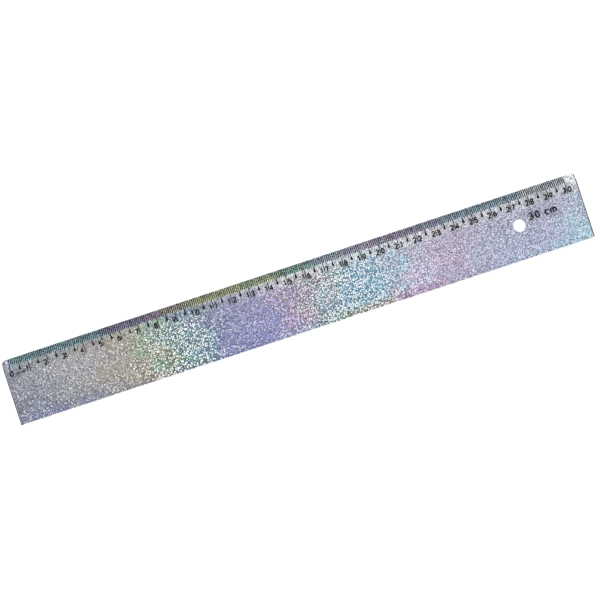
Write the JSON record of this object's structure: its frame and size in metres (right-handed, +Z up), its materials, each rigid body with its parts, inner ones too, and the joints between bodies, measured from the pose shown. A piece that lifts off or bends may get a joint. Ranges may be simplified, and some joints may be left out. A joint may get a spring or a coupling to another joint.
{
  "type": "plastic ruler",
  "caption": "Clear plastic 30 cm ruler with a sloped scale edge, a hanging hole and a holographic glitter film bonded under the blade.",
  "frame": {"origin": "on the surface that the ruler lies on, under the middle of its length and width", "axes": "+X along the length, from the zero mark to the 30 cm mark; +Y across the width, to the sloped scale edge; +Z up, out of the printed face"},
  "size_m": [0.31, 0.035, 0.003],
  "materials": {
    "clear_styrene": "clear, glossy, moulded",
    "holographic_glitter": "metallised holographic glitter film, its rainbow colours changing along the length",
    "scale_ink": "black satin screen-printing ink of the graduations and numerals"
  },
  "bodies": {
    "root": {"blade": "clear_styrene", "holographic_film": "holographic_glitter"}
  },
  "joints": []
}
